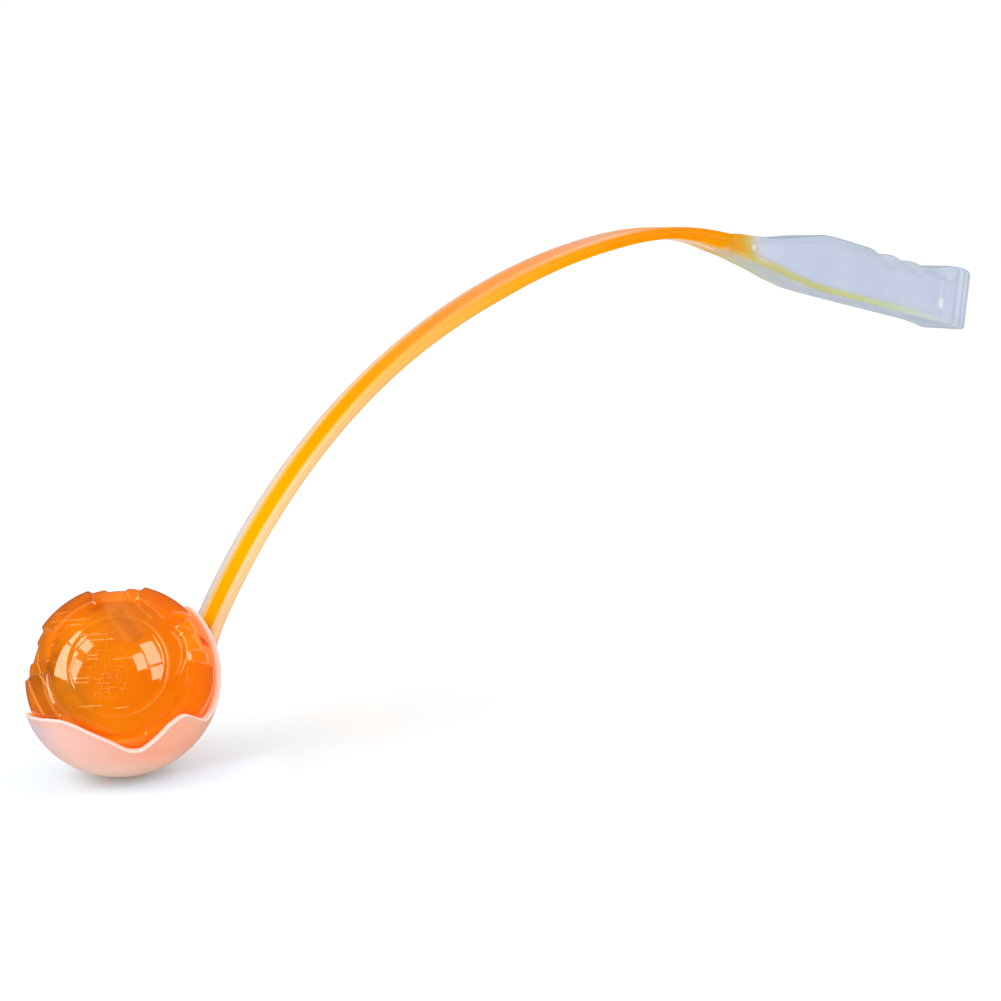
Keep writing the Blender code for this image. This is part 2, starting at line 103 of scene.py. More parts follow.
# Grip
grip_length = 146.0 * mm
cap_length = 22.0 * mm
grip_height = 26.2 * mm
grip_width = 24.0 * mm
grip_flange = 2.8 * mm
grip_ledge = 1.0 * mm
grip_crown_round = 3.0 * mm
grip_floor_round = 1.4 * mm
grip_swell_share = 0.25
grip_crown_corner_steps = 6
grip_floor_corner_steps = 5
grip_crown_flat_shares = (0.0, 0.5, 0.8)
grip_floor_flat_shares = (0.85, 0.6, 0.0)
grip_end_wall = 5.0 * mm
grip_steps_to_nose = 16
grip_steps_along_window = 150
grip_steps_past_window = 6
window_end_slope = 0.01 * mm
recess_lip = 0.05 * mm
frame_nose_shares = (0.0, 0.02, 0.08, 0.2, 0.35, 0.55, 0.8, 1.0)
plate_thickness = 1.6 * mm
plate_inset = 0.01 * mm
plate_gap = 0.012 * mm
plate_nose_start = 11.6 * mm
plate_nose_round = 3.4 * mm
plate_nose_shares = (0.01, 0.05, 0.12, 0.25, 0.4, 0.6, 0.8, 1.0)
plate_edge_round = 0.06 * mm
plate_edge_share = 0.3
plate_steps = 90
cap_edge_round = 3.6 * mm
cap_edge_squash = 0.8
cap_edge_steps = 10
cap_steps = 24
cap_lean_degrees = 4.5
cap_lean_start_share = 0.9
finger_count = 3
finger_depth = 1.5 * mm
finger_power = 1.5

# Ball
ball_body_radius = 29.8 * mm
tread_height = 2.2 * mm
ball_wall = 3.0 * mm
ball_seam = 0.05 * mm
ball_azimuth_steps = 400
ball_inner_steps = 36
ball_sharp_edge_degrees = 28.0
ball_ring_spans = (
    (0.0, 24.0, 40), (24.0, 50.5, 48), (50.5, 54.0, 14), (54.0, 82.0, 20), (82.0, 87.0, 14),
)
tread_blocks_from_degrees = 50.5
tread_first_degrees = 19.0
tread_blocks = 5

# Tables along each part, as (place, value); places and values are shares where not in degrees
shaft_heading_shares = ((0, 62.8), (0.5, 29.5), (0.8, 10.8), (1, -10.8))
shaft_thickness_shares = (
    (0, 0.46), (0.25, 0.50), (0.38, 0.60), (0.50, 0.83), (0.60, 1), (0.78, 1), (0.90, 0.91),
    (0.95, 1), (1, 1.28),
)
shaft_width_shares = ((0, 1), (0.70, 0.95), (0.88, 0.94), (1, 1.06))
grip_crown_shares = (
    (0, 0), (0.018, 0.029), (0.036, 0.046), (0.071, 0.065), (0.107, 0.092), (0.149, 0.128),
    (0.214, 0.215), (0.286, 0.330), (0.321, 0.381), (0.357, 0.421), (0.393, 0.430), (0.536, 0.420),
    (0.637, 0.402), (0.786, 0.395), (0.827, 0.404), (0.845, 0.424), (0.878, 0.480), (0.893, 0.505),
    (0.929, 0.527), (0.952, 0.537), (1, 0.525),
)
grip_floor_shares = (
    (0, -0.263), (0.071, -0.302), (0.107, -0.336), (0.179, -0.401), (0.25, -0.481), (0.286, -0.508),
    (0.321, -0.538), (0.357, -0.55), (0.4, -0.558), (0.87, -0.562), (0.893, -0.565),
    (0.929, -0.582), (0.964, -0.605), (1, -0.61),
)
grip_half_width_shares = (
    (0, 0.3975), (0.10, 0.415), (0.35, 0.49), (0.45, 0.5), (0.86, 0.5), (0.91, 0.54), (0.95, 0.545),
    (1, 0.50),
)
finger_start_share = 0.661
finger_pitch_share = 0.114
finger_steep_share = 0.038
finger_gentle_share = 0.068
cup_near_rim_degrees = (
    (0, 101), (4, 100.4), (8, 98.5), (12, 94.5), (15, 88.5), (17.5, 80.5), (20, 71.5), (23.5, 62),
    (28, 56), (36, 52), (48, 50.5), (64, 51.5), (71, 57.4), (77, 65.5), (82, 72.2), (87, 74.3),
    (93, 74.3), (100, 72.6), (108, 70.7), (115, 69.6), (121, 73), (127, 85.4), (134, 95.3),
    (142, 103.4), (150, 107.2), (160, 108.3), (172, 108.2), (180, 107),
)
cup_far_claw_degrees = (
    (108, 70.7), (114, 69.6), (120, 70.6), (126, 74), (132, 78.6), (138, 84), (144, 89.6),
    (150, 94.8), (156, 98.9), (162, 102.2), (168, 104.8), (174, 106.4), (180, 107),
)
tread_band_degrees = (
    (12, 0), (24, 0), (30.5, 0), (32, 0.35), (39, 0.35), (46, 0.35), (47.5, 0), (50.5, 0),
    (52.5, 1), (62, 1), (73, 1), (83.5, 1), (85.5, 0),
)
tread_block_shares = (
    (0, 0), (0.08, 0), (0.105, 0.4), (0.22, 0.4), (0.25, 1), (0.41, 1), (0.59, 1), (0.75, 1),
    (0.78, 0.4), (0.895, 0.4), (0.92, 0), (1, 0),
)

mouth_angle = math.radians(mouth_degrees)
mouth_axis = Vector((math.cos(mouth_angle), 0.0, math.sin(mouth_angle)))
side_axis = Vector((0.0, -1.0, 0.0))
shaft_side_axis = mouth_axis.cross(side_axis)
ball_centre = cup_centre + mouth_axis * ball_rise

# The camera stands off the cup's centre and looks along its own forward line
camera_offset = Vector((-0.19215, -0.4868, 0.14989))
camera_right = Vector((0.8073, -0.5902, 0.0)).normalized()
camera_forward = Vector((0.5817, 0.7956, -0.1691)).normalized()
camera_up = camera_right.cross(camera_forward)
handle_length = grip_length + cap_length
grip_heading = math.radians(shaft_heading_shares[-1][1])


# Curves through the tables

def between(points, x):
    """Value at x on straight lines through (x, value) points."""
    if x <= points[0][0]:
        return points[0][1]
    for (x0, y0), (x1, y1) in zip(points, points[1:]):
        if x <= x1:
            return y0 + (y1 - y0) * (x - x0) / (x1 - x0)
    return points[-1][1]


def smooth_between(points, x):
    """Value at x on a smooth curve through (x, value) points that never overshoots them."""
    if x <= points[0][0]:
        return points[0][1]
    if x >= points[-1][0]:
        return points[-1][1]
    slopes = [(b[1] - a[1]) / (b[0] - a[0]) for a, b in zip(points, points[1:])]
    span = next(k for k in range(len(slopes)) if x <= points[k + 1][0])

    def slope_at(k):
        if k == 0 or k == len(slopes):
            return slopes[min(k, len(slopes) - 1)]
        product = slopes[k - 1] * slopes[k]
        return 2 * product / (slopes[k - 1] + slopes[k]) if product > 0 else 0.0

    (x0, y0), (x1, y1) = points[span], points[span + 1]
    width = x1 - x0
    t = (x - x0) / width
    rise = (2 * t - 3) * t * t + 1
    return (
        y0 * rise + y1 * (1 - rise)
        + slope_at(span) * width * t * (1 - t) ** 2
        - slope_at(span + 1) * width * t * t * (1 - t)
    )


def spread(start, end, count):
    """Even places from start to end, both included, count steps apart."""
    return [start + (end - start) * k / count for k in range(count + 1)]


# Shaft path and grip axis

def shaft_point(along):
    """Crown face point and heading in radians, that far along the shaft from the cup."""
    foot = math.radians(shaft_foot_degrees)
    x = cup_outer_radius * math.cos(foot)
    z = cup_outer_radius * math.sin(foot)
    heading = math.radians(shaft_heading_shares[0][1])
    if along <= 0:
        return x + along * math.cos(heading), z + along * math.sin(heading), heading
    for now, after in zip(shaft_heading_shares, shaft_heading_shares[1:]):
        (share, degrees), (next_share, next_degrees) = now, after
        start = share * shaft_length
        reach = min(along, next_share * shaft_length) - start
        if reach <= 0:
            break
        turn_rate = math.radians(next_degrees - degrees) / ((next_share - share) * shaft_length)
        start_heading = math.radians(degrees)
        heading = start_heading + turn_rate * reach
        x += (math.sin(heading) - math.sin(start_heading)) / turn_rate
        z -= (math.cos(heading) - math.cos(start_heading)) / turn_rate
    return x, z, heading


def on_shaft(along, across, below):
    """Point on the shaft: along it, across it, and that far below the crown face."""
    x, z, heading = shaft_point(along)
    return cup_centre + Vector((
        x + below * math.sin(heading), across, z - below * math.cos(heading),
    ))


def shaft_deep(along):
    return shaft_thickness * smooth_between(shaft_thickness_shares, along / shaft_length)


def shaft_half(along):
    return shaft_width * smooth_between(shaft_width_shares, along / shaft_length) / 2


grip_root = on_shaft(shaft_length, 0.0, 0.0)
grip_axis = Vector((math.cos(grip_heading), 0.0, math.sin(grip_heading)))
grip_up = Vector((-math.sin(grip_heading), 0.0, math.cos(grip_heading)))


def on_grip(along, across, height):
    """Point on the grip: along its axis, across it, and above the shaft end's crown face."""
    return grip_root + grip_axis * along + grip_up * height + Vector((0.0, across, 0.0))


def grip_crown(along):
    return grip_height * smooth_between(grip_crown_shares, along / handle_length)


def grip_floor(along):
    return grip_height * smooth_between(grip_floor_shares, along / handle_length)


def grip_half(along):
    return grip_width * smooth_between(grip_half_width_shares, along / handle_length)


def finger_dip(along):
    """Depth of the finger scallops: steep on the shaft's side, gentle on the other, and fading."""
    deepest = 0.0
    for finger in range(finger_count):
        offset = along / grip_length - finger_start_share - finger * finger_pitch_share
        reach = finger_gentle_share if offset > 0 else finger_steep_share
        closeness = max(0.0, 1 - abs(offset) / reach)
        fading = 1 - finger / (2 * finger_count)
        deepest = max(deepest, finger_depth * fading * closeness ** finger_power)
    return deepest


def grip_lean(along, height):
    """The cap's end faces lean a little, so heights there shift along the grip."""
    past_start = along / grip_length - cap_lean_start_share
    share = min(1.0, max(0.0, past_start / (1 - cap_lean_start_share)))
    middle = (grip_crown(along) + grip_floor(along)) / 2
    return along - share * (height - middle) * math.tan(math.radians(cap_lean_degrees))


# Meshes

def skin(rows, columns, place, notes, ends=True):
    """Skin over a grid of rows and columns, closed round its columns and, with ends, at its first
    and last rows. place(row, column) gives each point, and notes names the numbers that place
    gives after it, which are kept on the points."""
    builder = bmesh.new()
    kept = [builder.verts.layers.float.new(name) for name in notes]
    made = bmesh.ops.create_grid(builder, x_segments=columns, y_segments=rows, size=0.5)
    for vertex in made["verts"]:
        row = round((vertex.co.y + 0.5) * rows)
        column = round((vertex.co.x + 0.5) * columns)
        point, *numbers = place(row, column % columns)
        vertex.co = point
        for layer, number in zip(kept, numbers):
            vertex[layer] = number
    bmesh.ops.remove_doubles(builder, verts=builder.verts, dist=weld_distance)
    if ends:
        rims = [edge for edge in builder.edges if edge.is_boundary]
        bmesh.ops.holes_fill(builder, edges=rims, sides=0)
    bmesh.ops.recalc_face_normals(builder, faces=builder.faces)
    return builder


def add_object(name, data):
    made = bpy.data.objects.new(name, data)
    bpy.context.scene.collection.objects.link(made)
    return made


def add_mesh(name, builder, material):
    mesh = bpy.data.meshes.new(name)
    builder.to_mesh(mesh)
    builder.free()
    mesh.materials.append(material)
    return add_object(name, mesh)


def finish_piece(name, builder, material, body, node, edge_degrees=sharp_edge_degrees):
    """Make the piece's object, ride it on its body and let it stand for its solid."""
    piece = add_mesh(name, builder, material)
    piece.data.shade_smooth()
    piece.data.set_sharp_from_angle(angle=math.radians(edge_degrees))
    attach(piece, body)
    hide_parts(node)


def arc(centre_across, centre_below, radius, start, end, steps):
    """Points on a corner, as (across, below) pairs; angles in degrees."""
    return [
        (
            centre_across + radius * math.cos(math.radians(angle)),
            centre_below + radius * math.sin(math.radians(angle)),
        )
        for angle in spread(start, end, steps)
    ]


# Cup

def cup_point(radius, polar, azimuth):
    """Point round the cup: polar from its deepest point, azimuth from the shaft's side."""
    return cup_centre + (
        -mouth_axis * math.cos(polar)
        + shaft_side_axis * math.sin(polar) * math.cos(azimuth)
        + side_axis * math.sin(polar) * math.sin(azimuth)
    ) * radius


def cup_inside(polar):
    """Distance from the outer sphere's centre to the inside wall, at that angle."""
    across = cup_inner_rise * math.sin(polar)
    return math.sqrt(cup_inner_radius ** 2 - across ** 2) - cup_inner_rise * math.cos(polar)


def cup_rim(azimuth_degrees):
    """Angle of the rim; the far side's claw has a table of its own."""
    far = 360 - azimuth_degrees
    if azimuth_degrees > 180 and far > cup_far_claw_degrees[0][0]:
        return math.radians(smooth_between(cup_far_claw_degrees, far))
    turned = azimuth_degrees if azimuth_degrees <= 180 else far
    return math.radians(smooth_between(cup_near_rim_degrees, turned))


def cup_builder():
    """Thin claw: out from its deepest point to the rim, over the rim, and back inside."""
    rows = 2 * cup_polar_steps + cup_rim_steps

    def place(row, column):
        degrees = 360 * column / cup_azimuth_steps
        azimuth = math.radians(degrees)
        rim = cup_rim(degrees)
        edge = rim - cup_rim_round / cup_outer_radius
        if row <= cup_polar_steps or row >= cup_polar_steps + cup_rim_steps:
            step = row if row <= cup_polar_steps else rows - row
            polar = edge * step / cup_polar_steps
            radius = cup_outer_radius if row <= cup_polar_steps else cup_inside(polar)
        else:
            turn = math.pi * (row - cup_polar_steps) / cup_rim_steps
            inner, outer = cup_inside(edge), cup_outer_radius
            radius = (inner + outer) / 2 + math.cos(turn) * (outer - inner) / 2
            polar = edge + math.sin(turn) * cup_rim_round / cup_outer_radius
        inside = min(1.0, max(0.0, (row - cup_polar_steps) / cup_rim_steps))
        return cup_point(radius, polar, azimuth), (rim - polar) * cup_outer_radius / mm, inside

    return skin(rows, cup_azimuth_steps, place, notes=("from_rim", "inside"), ends=False)


# Shaft and core

def shaft_outline(along, grown=0.0):
    """Outline of the shaft with the groove for the core in its crown face, grown all round."""
    half = shaft_half(along) + grown
    deep = shaft_deep(along) + 2 * grown
    corner = min(shaft_edge_round, deep / 3)
    groove_half = core_width / 2 + seam
    groove_deep = shaft_deep(along) * core_depth_share + grown + seam
    right = [(groove_half, groove_deep), (groove_half, 0.0)]
    right += arc(half - corner, corner, corner, -90, 0, shaft_corner_steps)
    right += arc(half - corner, deep - corner, corner, 0, 90, shaft_corner_steps)
    return right + [(-across, below) for across, below in reversed(right)]


def root_builder():
    """Root of the arm: it starts in the cup's wall, wherever that is, and flares towards it."""
    deepest = cup_outer_radius - root_depth_in_cup

    def start_of(across, below):
        low, high = root_search_start, shaft_stub_length
        for _ in range(root_search_halvings):
            middle = (low + high) / 2
            if (on_shaft(middle, across, below) - cup_centre).length < deepest:
                low = middle
            else:
                high = middle
        return high

    def outline(flare):
        grown = flare * root_flare
        on_crown = grown * root_crown_flare_share
        return [
            (across, below - (grown if below > root_crown_deep else on_crown))
            for across, below in shaft_outline(shaft_stub_length, grown)
        ]

    rows = [outline((1 - row / root_steps) ** root_flare_power) for row in range(root_steps + 1)]
    starts = [start_of(across, below) for across, below in rows[0]]

    def place(row, column):
        across, below = rows[row][column]
        along = starts[column] + (shaft_stub_length - starts[column]) * row / root_steps
        share = min(1.0, max(0.0, below / shaft_deep(shaft_stub_length)))
        return on_shaft(along, across, below), along / mm, across / mm, share

    return skin(root_steps, len(rows[0]), place, notes=("along", "across", "below"))


def shaft_builder(start, end, steps):
    stations = spread(start, end, steps)
    outlines = [shaft_outline(along) for along in stations]

    def place(row, column):
        across, below = outlines[row][column]
        along = stations[row]
        share = below / shaft_deep(along)
        return on_shaft(along, across, below), along / mm, across / mm, share

    return skin(steps, len(outlines[0]), place, notes=("along", "across", "below"))


def core_builder():
    """Strip let into the crown face, with a tail that dives to the grip's floor."""
    half = core_width / 2
    corner = core_edge_round

    def outline(top, bottom):
        right = arc(half - corner, -top + corner, corner, -90, 0, core_corner_steps)
        right += arc(half - corner, -bottom - corner, corner, 0, 90, core_corner_steps)
        return right + [(-across, below) for across, below in reversed(right)]

    def at(row):
        if row <= shaft_steps:
            along = core_start + (shaft_length - core_start) * row / shaft_steps
            return along, 0.0, -shaft_deep(along) * core_depth_share
        along = core_tail_end * (row - shaft_steps) / core_tail_steps
        share = min(1.0, along / core_dive)
        tail_bottom = grip_floor(along) + core_floor
        tail_top = grip_floor(along) + grip_flange + grip_ledge
        root_deep = shaft_deep(shaft_length) * core_depth_share
        return along, tail_top * share, tail_bottom * share - root_deep * (1 - share)

    count = len(outline(0.0, -1.0))

    def place(row, column):
        along, top, bottom = at(row)
        across, below = outline(top, bottom)[column]
        if row <= shaft_steps:
            return on_shaft(along, across, below), along / mm, across / mm
        return on_grip(along, across, -below), (shaft_length + along) / mm, across / mm

    return skin(shaft_steps + core_tail_steps, count, place, notes=("along", "across"))


# Grip

def plate_span(along, margin, nose_start):
    """Top and bottom of a plate or its recess, whose shaft end is round."""
    top = grip_crown(along) - margin
    bottom = grip_floor(along) + margin
    reach = along - nose_start
    if reach < plate_nose_round:
        share = math.sqrt(max(0.0, 1 - (1 - reach / plate_nose_round) ** 2))
        middle = (top + bottom) / 2
        half = share * (top - bottom) / 2
        top, bottom = middle + half, middle - half
    return top, bottom


def frame_outline(along, shrink=0.0, dip=0.0, recess=0.0):
    """Outline of the grip, round at its corners, with the plates' recess in both sides."""
    half = grip_half(along) - shrink
    top = grip_crown(along) - shrink - dip
    bottom = grip_floor(along) + shrink
    swell = min(1.0, along / (grip_swell_share * grip_length))
    top_round = shaft_edge_round + (grip_crown_round - shaft_edge_round) * swell
    floor_round = shaft_edge_round + (grip_floor_round - shaft_edge_round) * swell
    if recess > 0:
        recess_top, recess_bottom = plate_span(along, grip_flange, plate_nose_start)
    else:
        recess_top = recess_bottom = (top + bottom) / 2
    recess_top = min(recess_top, top - top_round)
    recess_bottom = max(recess_bottom, bottom + floor_round)
    lip = recess_lip if recess > 0 else 0.0
    right = [((half - top_round) * share, -top) for share in grip_crown_flat_shares]
    right += arc(half - top_round, top_round - top, top_round, -90, 0, grip_crown_corner_steps)
    right += [
        (half, -recess_top - lip), (half - lip, -recess_top), (half - recess, -recess_top),
        (half - recess, -recess_bottom), (half - lip, -recess_bottom), (half, -recess_bottom + lip),
    ]
    right += arc(
        half - floor_round, -bottom - floor_round, floor_round, 0, 90, grip_floor_corner_steps,
    )
    right += [((half - floor_round) * share, -bottom) for share in grip_floor_flat_shares]
    left = [(-across, below) for across, below in reversed(right[1:-1])]
    return [(across, -below) for across, below in right + left]


grip_notes = ("along", "above_floor", "below_crown", "from_side", "above_fold")

# Fold that shows through the grip's side under the finger dips, along and above the shaft's end
finger_fold = (
    (80, 12), (93, 9), (105, 4.6), (113, 8.2), (126, 4.6), (133.5, 8.8), (151, 5.8), (157, 13),
    (170, 16),
)


def grip_place(along, across, height, dip=0.0):
    """A point of the grip and its place numbers, in millimetres."""
    return (
        on_grip(grip_lean(along, height), across, height), along / mm,
        (height - grip_floor(along)) / mm, (grip_crown(along) - dip - height) / mm,
        (grip_half(along) - abs(across)) / mm, height / mm - between(finger_fold, along / mm),
    )


def grip_skin(stations, outlines, side=1, dips=None):
    """Skin through the outlines that stand at these stations along the grip."""
    def place(row, column):
        across, height = outlines[row][column]
        return grip_place(stations[row], side * across, height, dips[row] if dips else 0.0)

    return skin(len(stations) - 1, len(outlines[0]), place, grip_notes)


def frame_builder():
    recess = plate_inset + plate_thickness + plate_gap
    window_end = grip_length - grip_end_wall + plate_gap
    nose = [plate_nose_start + plate_nose_round * share for share in frame_nose_shares]
    stations = spread(0.0, plate_nose_start, grip_steps_to_nose)[:-1] + nose
    stations += spread(nose[-1], window_end, grip_steps_along_window)[1:]
    stations.append(window_end + window_end_slope)
    stations += spread(window_end, grip_length, grip_steps_past_window)[1:]
    dips = [finger_dip(along) for along in stations]
    outlines = []
    for along, dip in zip(stations, dips):
        inside = plate_nose_start < along <= window_end
        outlines.append(frame_outline(along, dip=dip, recess=recess if inside else 0.0))
    return grip_skin(stations, outlines, dips=dips)


def plate_builder(side):
    """Panel in the frame's side: outer face a little under the flange, edges rounded over."""
    margin = grip_flange + plate_gap
    start = plate_nose_start + plate_gap
    end = grip_length - grip_end_wall
    nose = [start + plate_nose_round * share for share in plate_nose_shares]
    stations = nose + spread(nose[-1], end, plate_steps)[1:]

    def outline(along):
        top, bottom = plate_span(along, margin, start)
        face = grip_half(along) - plate_inset
        back = face - plate_thickness
        corner = min(plate_edge_round, (top - bottom) / 3)
        cut = corner * plate_edge_share
        return [
            (face - corner, top), (face - cut, top - cut), (face, top - corner),
            (face, bottom + corner), (face - cut, bottom + cut), (face - corner, bottom),
            (back, bottom), (back, top),
        ]

    return grip_skin(stations, [outline(along) for along in stations], side)


def cap_builder():
    body_end = handle_length - cap_edge_round
    stations = spread(grip_length + seam, body_end, cap_steps)
    outlines = [frame_outline(along) for along in stations]
    for angle in spread(0.0, math.pi / 2, cap_edge_steps)[1:]:
        stations.append(body_end + cap_edge_round * math.sin(angle))
        shrink = cap_edge_round * (1 - math.cos(angle)) * cap_edge_squash
        outlines.append(frame_outline(stations[-1], shrink))
    return grip_skin(stations, outlines)


# Ball

def ball_relief(turn, polar_degrees):
    """Height of the tread there, as a share of its full height; turn is in whole blocks."""
    band = between(tread_band_degrees, polar_degrees)
    if polar_degrees < tread_blocks_from_degrees:
        return band
    return band * between(tread_block_shares, turn % 1.0)


def ball_builder(side, turned):
    """Hollow half ball, treaded outside and plain inside."""
    polars = [0.0] + [polar for span in ball_ring_spans for polar in spread(*span)[1:]]
    inner_radius = ball_body_radius - ball_wall
    outer_seam, inner_seam = (
        math.degrees(math.acos(ball_seam / 2 / radius))
        for radius in (ball_body_radius, inner_radius)
    )
    rows = [(polar, None) for polar in polars] + [(outer_seam, ball_body_radius)]
    rows += [(polar, inner_radius) for polar in spread(inner_seam, 0.0, ball_inner_steps)]
    turn = Euler([math.radians(degrees) for degrees in ball_turn_degrees]).to_matrix()
    flip = Euler((math.pi if turned else 0.0, 0.0, 0.0)).to_matrix()

    def place(row, column):
        polar_degrees, radius = rows[row]
        blocks = tread_blocks * column / ball_azimuth_steps
        relief = 0.0
        if radius is None:
            relief = ball_relief(blocks, polar_degrees)
            radius = ball_body_radius + tread_height * relief
        polar = math.radians(polar_degrees)
        azimuth = side * math.radians(tread_first_degrees + 360 * column / ball_azimuth_steps)
        point = Vector((
            radius * math.sin(polar) * math.cos(azimuth),
            radius * math.sin(polar) * math.sin(azimuth),
            radius * math.cos(polar),
        ))
        return ball_centre + turn @ (flip @ point), relief, polar_degrees

    return skin(len(rows) - 1, ball_azimuth_steps, place, notes=("relief", "polar"), ends=False)


# Materials

untinted = (1.0, 1.0, 1.0, 1.0)


def colour(red, green, blue):
    """Colour from its screen values, 0 to 255, as the shader takes it."""
    def straight(value):
        share = value / 255
        return share / 12.92 if share <= 0.04045 else ((share + 0.055) / 1.055) ** 2.4
    return (straight(red), straight(green), straight(blue), 1.0)


class Value:
    """A number in a shader that can be used in ordinary sums."""

    def __init__(self, graph, socket):
        self.graph = graph
        self.socket = socket

    def sum(self, operation, *others):
        return self.graph.node("Math", {"operation": operation}, dict(enumerate((self,) + others)))

    def __add__(self, other):
        return self.sum("ADD", other)

    def __sub__(self, other):
        return self.sum("SUBTRACT", other)

    def __rsub__(self, other):
        return self.graph.node("Math", {"operation": "SUBTRACT"}, {0: other, 1: self})

    def __mul__(self, other):
        return self.sum("MULTIPLY", other)

    def __truediv__(self, other):
        return self.sum("DIVIDE", other)

    def __abs__(self):
        return self.sum("ABSOLUTE")

    __radd__ = __add__
    __rmul__ = __mul__

    def least(self, other):
        return self.sum("MINIMUM", other)

    def step(self, low, high, start=0.0, end=1.0):
        """Smooth change from start to end as this goes from low to high."""
        return self.graph.node(
            "MapRange", {"interpolation_type": "SMOOTHSTEP"},
            {0: self, 1: low, 2: high, 3: start, 4: end},
        )

    def fade(self, low, high):
        """1 below low, going smoothly to 0 at high."""
        return self.step(low, high, 1.0, 0.0)

    def band(self, middle, half, soft):
        """1 within half of the middle, fading to 0 over the soft width outside."""
        return abs(self - middle).fade(half, half + soft)


def square_sum(one, other):
    return one * one + other * other


class Graph:
    """The node tree of a material, or of the world."""

    def __init__(self, name, kind="materials", shader="Principled BSDF"):
        self.owner = getattr(bpy.data, kind).new(name)
        self.owner.use_nodes = True
        self.tree = self.owner.node_tree
        self.shader = self.tree.nodes[shader]

    def feed(self, socket, value):
        if isinstance(value, Value):
            self.tree.links.new(value.socket, socket)
        else:
            socket.default_value = value

    def node(self, kind, settings=None, inputs=None, output=0, stops=()):
        made = self.tree.nodes.new("ShaderNode" + kind)
        for name, setting in (settings or {}).items():
            setattr(made, name, setting)
        for number, (place, stop) in enumerate(stops):
            ramp = made.color_ramp.elements
            element = ramp[number] if number < 2 else ramp.new(place)
            element.position, element.color = place, stop
        for key, value in (inputs or {}).items():
            self.feed(made.inputs[key], value)
        return Value(self, made.outputs[output])

    def attribute(self, name):
        return self.node("Attribute", {"attribute_name": name}, output=2)

    def place(self):
        return self.node("TexCoord", output=3)

    def reach(self, direction, origin):
        """Distance from the origin along a direction, in millimetres."""
        direction = Vector(direction)
        inputs = {0: self.place(), 1: direction}
        dot = self.node("VectorMath", {"operation": "DOT_PRODUCT"}, inputs, output=1)
        return (dot - direction.dot(origin)) / mm

    def mix(self, share, first, second, kind="MIX"):
        settings = {"data_type": "RGBA", "blend_type": kind}
        return self.node("Mix", settings, {0: share, 6: first, 7: second}, output=2)

    def coats(self, base, *coats):
        """The base under coats of paint: each a share, and screen values or a painted colour."""
        for share, coat in coats:
            base = self.mix(share, base, colour(*coat) if isinstance(coat, tuple) else coat)
        return base

    def run(self, value, stops):
        """Colour that runs through (place, red, green, blue) stops along a value."""
        low, high = stops[0][0], stops[-1][0]
        share = (value - low) / (high - low)
        ends_first = stops[::len(stops) - 1] + stops[1:-1]
        placed = [((stop[0] - low) / (high - low), colour(*stop[1:])) for stop in ends_first]
        return self.node("ValToRGB", {}, {0: share}, stops=placed)

    def noise(self, scale, detail=2.0, roughness=0.5):
        return self.node("TexNoise", {}, {
            "Vector": self.place(), "Scale": scale, "Detail": detail, "Roughness": roughness,
        })

    def finish(self, **sockets):
        for name, value in sockets.items():
            self.feed(self.shader.inputs[name.replace("_", " ")], value)
        return self.owner

    def show(self, surface):
        self.feed(self.tree.nodes["Material Output"].inputs["Surface"], surface)
        return self.owner


def frosted(graph, base, roughness=0.45, depth=0.35, shine=0.2, scale=1.6):
    """Milky moulded plastic over the painted base colour."""
    height = graph.noise(1400.0, 3.0) + graph.noise(90.0) * 3.0
    bump = graph.node("Bump", {}, {"Strength": 0.05, "Distance": 0.05 * mm, "Height": height})
    uneven = graph.noise(160.0).step(0.3, 0.7, roughness - 0.05, roughness + 0.07)
    return graph.finish(
        Base_Color=base, Roughness=uneven, Specular_IOR_Level=shine, Subsurface_Weight=depth,
        Subsurface_Radius=(1.0, 0.8, 0.65), Subsurface_Scale=scale * mm, Normal=bump,
    )


def cloudy(graph, base, scale, light, dark, share=0.5):
    """Base colour with soft lighter and darker clouds in it."""
    cloud = graph.noise(scale, 3.0).step(0.3, 0.7)
    return graph.mix(share, base, graph.mix(cloud, dark, light), "MULTIPLY")


# Colours of the cup: outside from left to right, frosted peach with the ball's orange glow painted
# through it, most on the right, and inside by the distance from its rim, where the ball's glow is
# painted on the wall
cup_body_run = (
    (-36, 188, 188, 218), (-29, 212, 200, 214), (-16, 245, 204, 194), (0, 252, 198, 180),
    (16, 254, 178, 146), (28, 246, 186, 158), (36, 238, 186, 158),
)
cup_inner_glow_run = (
    (0, 250, 207, 168), (3, 251, 203, 148), (8, 252, 197, 130), (16, 252, 191, 120),
    (60, 250, 187, 124),
)


def cup_material():
    graph = Graph("frosted_peach")
    from_rim = graph.attribute("from_rim")
    within = graph.attribute("inside").step(0.6, 1)
    inner = graph.run(from_rim, cup_inner_glow_run)
    # Painted light: the wall paler towards its bottom
    low = graph.reach((0, 0, 1), cup_centre).fade(-34, -18)
    under_rim = from_rim.band(2.3, 0.7, 1.2)
    # Painted highlight along the rim's edge
    rim = abs(from_rim).fade(0.3, 1)
    body = graph.coats(
        graph.run(graph.reach(camera_right, cup_centre), cup_body_run),
        (low * 0.95, (255, 232, 218)),
        (under_rim * 0.35, (248, 184, 160)),
        (within, inner),
        (rim, (255, 228, 216)),
    )
    body = cloudy(graph, body, 45, (0.92, 0.95, 0.95, 1), (0.86, 0.86, 0.87, 1), 0.8)
    # Painted light: the inside glows with the ball's orange, though the cup is no lamp
    graph.finish(Emission_Color=graph.mix(within, colour(0, 0, 0), inner), Emission_Strength=0.3)
    return frosted(graph, body, depth=0.6, scale=3)
